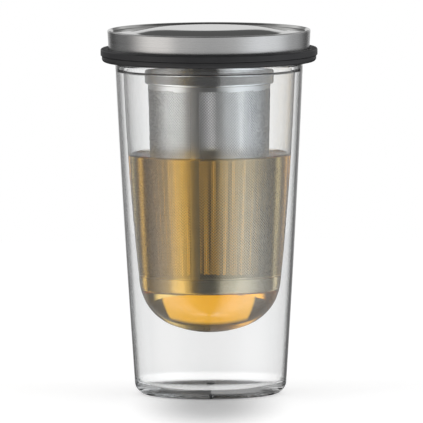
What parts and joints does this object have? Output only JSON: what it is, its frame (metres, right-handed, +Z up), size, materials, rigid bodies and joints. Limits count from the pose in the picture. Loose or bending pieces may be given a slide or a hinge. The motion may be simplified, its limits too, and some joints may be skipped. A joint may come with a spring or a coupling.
{
  "type": "lidded tea glass with infuser",
  "caption": "Tall double-wall tea glass with a perforated steel infuser in a silicone ring and a flat steel lid that lifts off.",
  "frame": {"origin": "on the axis of the glass, in the plane that its foot stands on", "axes": "+Z up along the axis of the glass, +X to the right as seen from the front, +Y to the back"},
  "size_m": [0.095, 0.095, 0.1609],
  "materials": {
    "clear_glass": "clear polished borosilicate",
    "vent_silicone": "smooth",
    "satin_steel": "drawn, satin",
    "perforated_steel": "etched sheet with fine staggered holes",
    "dark_silicone": "satin moulded",
    "brushed_lid_steel": "side brushed round, dish polished"
  },
  "bodies": {
    "glass": {"outer_glass_wall": "clear_glass", "inner_glass_bowl": "clear_glass", "base_vent_seal": "vent_silicone"},
    "infuser": {"infuser_collar": "satin_steel", "infuser_tube": "perforated_steel", "infuser_base": "satin_steel", "silicone_ring": "dark_silicone"},
    "lid": {"lid": "brushed_lid_steel"}
  },
  "joints": [
    {"name": "infuser_lift", "type": "slide", "parent": "glass", "child": "infuser", "axis": [0, 0, 1], "range_m": [0, 0.12]},
    {"name": "lid_lift", "type": "slide", "parent": "infuser", "child": "lid", "axis": [0, 0, 1], "range_m": [0, 0.04]}
  ]
}
